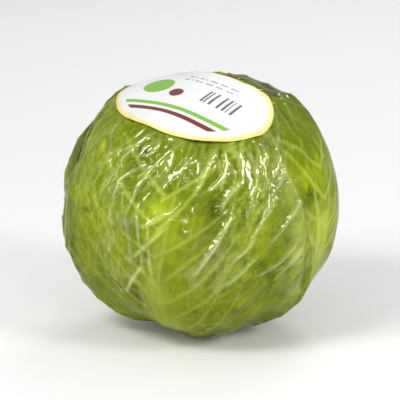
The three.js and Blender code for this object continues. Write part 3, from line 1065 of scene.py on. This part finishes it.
def on_label(directions):
    """How far out on the label each direction points: 1 at the label's edge."""
    ahead = directions @ label_patch.ahead
    angle = np.arccos(np.clip(ahead, -1, 1))
    x, y = directions @ label_patch.side, directions @ label_patch.up
    far = np.maximum(np.hypot(x, y), TINY)
    x, y = x / far * angle * MEAN_RADIUS, y / far * angle * MEAN_RADIUS
    return np.hypot(x / (LABEL_SIZE[0] / 2), y / (LABEL_SIZE[1] / 2))


def loose_folds():
    """Heights of the two loose folds, which lean a little to one side."""
    low, full, fading, high = LOOSE_FOLD_REACH
    fade = smooth(film_rises, low, full) * (1 - smooth(film_rises, fading, high))
    total = 0
    for foot_azimuth, top_azimuth in LOOSE_FOLDS:
        path = mix(foot_azimuth, top_azimuth, (film_rises - low) / (high - low))
        path = path + LOOSE_FOLD_WAVER * np.sin(film_rises / LOOSE_FOLD_WAVE)
        off = (film_turns - path + 180) % 360 - 180
        slope = np.where(off > 0, LOOSE_FOLD_WIDTH * 0.7, LOOSE_FOLD_WIDTH * 1.3)
        total = total + np.exp(-np.abs(off / slope) ** 1.3)
    return LOOSE_FOLD_RISE * fade * total


def pleats(rng):
    """The pleats round the gathered mouth: their heights and their crests."""
    rises = np.stack(np.broadcast_arrays(film_rises, 0 * film_turns), -1)
    phase = film_turns / 360 * PLEATS + 0.35 * ripples(rises, 30, rng)
    phase = phase + 0.5 * round_the_head(ripples(film_directions, 0.5, rng))
    saw = phase - np.floor(phase)
    ridge = np.minimum(saw / PLEAT_CREST, (1 - saw) / (1 - PLEAT_CREST))
    grow = 1 - smooth(film_rises, *PLEAT_REACH)
    strength = 0.55 + 0.45 * ripples(film_directions, 0.6, rng)
    return PLEAT_RISE * grow * ridge * strength, (grow * ridge) ** 2 * strength


clear_of_label = smooth(on_label(film_directions), 0.95, 1.2)
looseness = 0.5 + 0.5 * ripples(film_directions, 0.35, rng)
film_radius = film_radius + (creases + SLACK * looseness + loose_folds()) * clear_of_label
pleat_heights, pleat_crests = pleats(rng)
film_radius = film_radius + pleat_heights
film_radius = np.minimum(round_the_head(film_radius), on_floor)
film_radius[-1] = film_radius[-1].mean()
film = sheet_object("clear_film_sheet", placed(film_directions, film_radius))
crests = np.maximum(crests * clear_of_label, pleat_crests)
gather = 1 - smooth(film_rises, *GATHER_REACH)
layers = loose_folds() / LOOSE_FOLD_RISE + GATHER_LAYERS * gather
paint(film, "film_marks", crests, looseness, layers)
close_seams(film)
print("the film reaches", round(film_radius.max() / MM, 1), "mm out")

# %% [markdown]
# Clear film is mostly not there: light goes straight through, and what the eye sees is the bright
# reflection on each ridge. So the finish mixes a Transparent and a Glossy shader by Fresnel, and
# adds a faint milky veil on the crests and where the film lies in layers. On the crests that veil
# is partly a painted highlight, and its yellow-green is partly painted light from the leaves below.
# The finest wrinkles are bump: noise that is stretched and folded at its middle gives long thin
# ridges.

# %% The finish of the film
FILM_TINT = (0.985, 0.99, 0.89)
# Milky white, with a yellow-green tint that is painted light from the leaves under the film.
VEIL_AND_LEAF_LIGHT_COLOUR = (0.88, 0.92, 0.34)
GLOSS_COLOUR = (1, 1, 0.76)


def film_finish():
    finish = Finish("clear_film")
    crest = finish.attribute("film_marks", 0)
    loose = finish.attribute("film_marks", 1)
    layers = finish.attribute("film_marks", 2)
    pulled = finish.noise(35 * MM, 2, 0.5).between(0.45, 0.62)
    streaks = finish.lines(6.5 * MM, 9, finish.place((1, 1, 9), 35), 0.3) * pulled
    upright = finish.lines(8 * MM, 9, finish.place((1, 1, 7), -12), 0.4) * (1 - pulled)
    dents = finish.lines(6 * MM, 7, finish.place()) * finish.noise(20 * MM).between(0.5, 0.65)
    swell = finish.noise(12 * MM, 2, 0.4, finish.place((1, 1, 2.6), 30))
    height = streaks * 0.7 + upright * 0.5 + dents * 0.2 + swell * 1.4
    normal = finish.bump(height, 0.5 * MM)
    cloud = (finish.noise(30 * MM, 3, 0.6) + loose * 0.1).between(0.6, 0.85)
    # On the crests the veil is partly the milky double layer and partly a painted highlight.
    veil_and_glint = crest * 0.2 + layers * 0.12 + cloud * 0.035 + streaks * 0.03
    gloss = finish.node("ShaderNodeFresnel", {}, {"IOR": 1.4})
    clear = finish.node("ShaderNodeBsdfTransparent", {}, {"Color": FILM_TINT})
    milk = finish.node("ShaderNodeBsdfDiffuse", {}, {"Color": VEIL_AND_LEAF_LIGHT_COLOUR, "Normal": normal})
    shine_inputs = {"Color": GLOSS_COLOUR, "Roughness": 0.06, "Normal": normal}
    shine = finish.node("ShaderNodeBsdfGlossy", {}, shine_inputs)
    body = finish.node("ShaderNodeMixShader", {}, {0: veil_and_glint.clamped(), 1: clear, 2: milk})
    share = (gloss**1.8 + 0.009 + crest * 0.2 + streaks * 0.06).clamped()
    return finish.show(finish.node("ShaderNodeMixShader", {}, {0: share, 1: body, 2: shine}))


wear(film, film_finish(), "clear_film", "film_wrap")

# %% [markdown]
# The label is thin, stiff paper that can't follow each crease of the film. It starts with the
# heights of the film and is smoothed until only a soft wave is left, then lifted wherever a crease
# would come through. Its net is a square pressed into an oval, which keeps the knots even. A cloth
# simulation could drape it too, but paper this small hardly sags, and numbers are quicker.

# %% The label's paper
LABEL_KNOTS = (121, 101)
LABEL_THICKNESS = 0.22 * MM
LABEL_GAP = 0.06 * MM
LABEL_EDGE_LIFT = 0.35 * MM
LABEL_LIFTS = ((8, 40), (3, 8))
STIFF_ROUNDS = 60
STIFF_PASSES = 12
LAST_PASSES = 40

u, v = np.meshgrid(np.linspace(-1, 1, LABEL_KNOTS[0]), np.linspace(-1, 1, LABEL_KNOTS[1]))
label_x = u * np.sqrt(1 - v * v / 2)
label_y = v * np.sqrt(1 - u * u / 2)
label_directions = label_patch.direction(label_x * LABEL_SIZE[0] / 2, label_y * LABEL_SIZE[1] / 2)
stack.add(film)
under_label = stack.height(label_directions)
label_radius = under_label
for _ in range(STIFF_ROUNDS):
    label_radius = np.maximum(blurred(label_radius, STIFF_PASSES), under_label)
label_radius = blurred(label_radius, LAST_PASSES)
for steps, passes in LABEL_LIFTS:
    label_radius = lifted(label_radius, under_label, steps, passes)
label_radius += LABEL_GAP
label_edge = smooth(np.hypot(label_x, label_y), 0.75, 1)
label_radius += LABEL_EDGE_LIFT * label_edge * (1 + ripples(label_directions, 0.16, rng))
label_points = placed(label_directions, label_radius + LABEL_THICKNESS)
label = sheet_object("oval_paper_label", label_points)
paint(label, "label_place", label_x / 2 + 0.5, label_y / 2 + 0.5)
thicken(label, LABEL_THICKNESS)
print("the label lies", round(label_radius.min() / MM, 1), "mm out or more")

# %% [markdown]
# The print needs no picture, and its motifs are generic. The label's vertices store where they lie
# across and up the oval, from -1 at one edge to 1 at the other. Sums on these two numbers cut out
# discs, stripes and bars, as a stencil would.

# %% The print on the label
PAPER_WHITE = (0.62, 0.62, 0.615)
RIM_YELLOW = (0.66, 0.55, 0.17)
DISC_GREEN = (0.16, 0.36, 0.03)
STRIPE_BROWN = (0.13, 0.02, 0.016)
BAR_GREY = (0.08, 0.08, 0.09)
INK_EDGE = 0.008
DISC_EDGE = 0.01
LABEL_STRETCH = LABEL_SIZE[0] / LABEL_SIZE[1]
DISCS = ((-0.5, 0.05, 0.26, DISC_GREEN), (-0.17, -0.1, 0.12, STRIPE_BROWN))
STRIPES = ((-0.52, -0.44, DISC_GREEN), (-0.66, -0.58, STRIPE_BROWN))
BARS_ACROSS, BARS_UP = (0.16, 0.62), (-0.16, 0.2)
DASHES_ACROSS, DASHES_UP = (-0.3, 0.44), ((0.5, 0.56), (0.36, 0.41))


def label_finish():
    finish = Finish("label_paper")
    x = finish.attribute("label_place", 0) * 2 - 1
    y = finish.attribute("label_place", 1) * 2 - 1
    out = (x * x + y * y) ** 0.5
    rim = out.between(0.9, 0.985)
    inside = 1 - out.between(0.84, 0.86)

    def band(value, low, high):
        below = value.between(low - INK_EDGE, low + INK_EDGE)
        return below * (1 - value.between(high - INK_EDGE, high + INK_EDGE))

    def disc(centre_x, centre_y, radius):
        across, up = (x - centre_x) * LABEL_STRETCH, y - centre_y
        out = (across * across + up * up) ** 0.5
        return 1 - out.between(radius - DISC_EDGE, radius + DISC_EDGE)

    def beats(first, second):
        return (x * first).maths("SINE") + (x * second).maths("SINE")

    bars = beats(110, 67).between(0.1, 0.3) * band(x, *BARS_ACROSS) * band(y, *BARS_UP)
    rows = sum(band(y, *row) for row in DASHES_UP)
    dashes = beats(90, 41).between(-0.5, -0.3) * rows * band(x, *DASHES_ACROSS)
    colour = finish.mix(rim, PAPER_WHITE, RIM_YELLOW)
    for centre_x, centre_y, radius, ink in DISCS:
        colour = finish.mix(disc(centre_x, centre_y, radius), colour, ink)
    for low, high, ink in STRIPES:
        colour = finish.mix(band(y, low, high) * inside, colour, ink)
    colour = finish.mix((bars + dashes * 0.7).clamped(), colour, BAR_GREY)
    grain = finish.noise(0.8 * MM, 3, 0.6)
    normal = finish.bump(grain, 0.03 * MM)
    shader = finish.principled(Base_Color=colour, Roughness=0.4 + grain * 0.1, Normal=normal)
    return finish.show(shader)


wear(label, label_finish(), "label_paper", "oval_label")

# %% [markdown]
# The stem was cut with a knife when the head was picked. Its face shows the ends of pale strands
# and goes a little brown in spots. It starts as a cylinder, and a Bevel modifier rounds its edges.

# %% The cut stem
STEM_SIDES = 72
KNIFE_EDGE = 1.5 * MM
KNIFE_EDGE_STEPS = 4
SMOOTH_BELOW = 40
STRAND_SIZE = 2 * MM

stem_radius = (stem_high.x - stem_low.x) / 2
centre = (stem_low + stem_high) / 2
stem_size = {"radius": stem_radius, "depth": stem_high.z - stem_low.z}
bpy.ops.object.select_all(action="DESELECT")
bpy.ops.mesh.primitive_cylinder_add(vertices=STEM_SIDES, location=centre, **stem_size)
stem = bpy.context.object
stem.name = stem.data.name = "stem_end"
bpy.ops.object.transform_apply(location=True)
edge = stem.modifiers.new("knife_edge", "BEVEL")
edge.width = KNIFE_EDGE
edge.segments = KNIFE_EDGE_STEPS
bpy.ops.object.modifier_apply(modifier=edge.name)
bpy.ops.object.shade_smooth_by_angle(angle=math.radians(SMOOTH_BELOW))

STEM_CREAM = (0.62, 0.56, 0.3)
STEM_PALE = (0.72, 0.72, 0.5)
STEM_BROWN = (0.28, 0.14, 0.05)


def stem_finish():
    finish = Finish("cut_stem_cream")
    spots = finish.noise(4 * MM, 4, 0.6)
    inputs = {"Vector": finish.place(), "Scale": 1 / STRAND_SIZE}
    strands = finish.node("ShaderNodeTexVoronoi", {}, inputs)
    brown = (spots.between(0.6, 0.8) * 0.5 + strands * 0.3).clamped()
    colour = finish.mix(spots.between(0.35, 0.7), STEM_PALE, STEM_CREAM)
    colour = finish.mix(brown, colour, STEM_BROWN)
    normal = finish.bump(strands, 0.2 * MM)
    shader = finish.principled(Base_Color=colour, Roughness=0.6, Normal=normal)
    return finish.show(shader)


wear(stem, stem_finish(), "cut_stem_cream", "cut_stem")
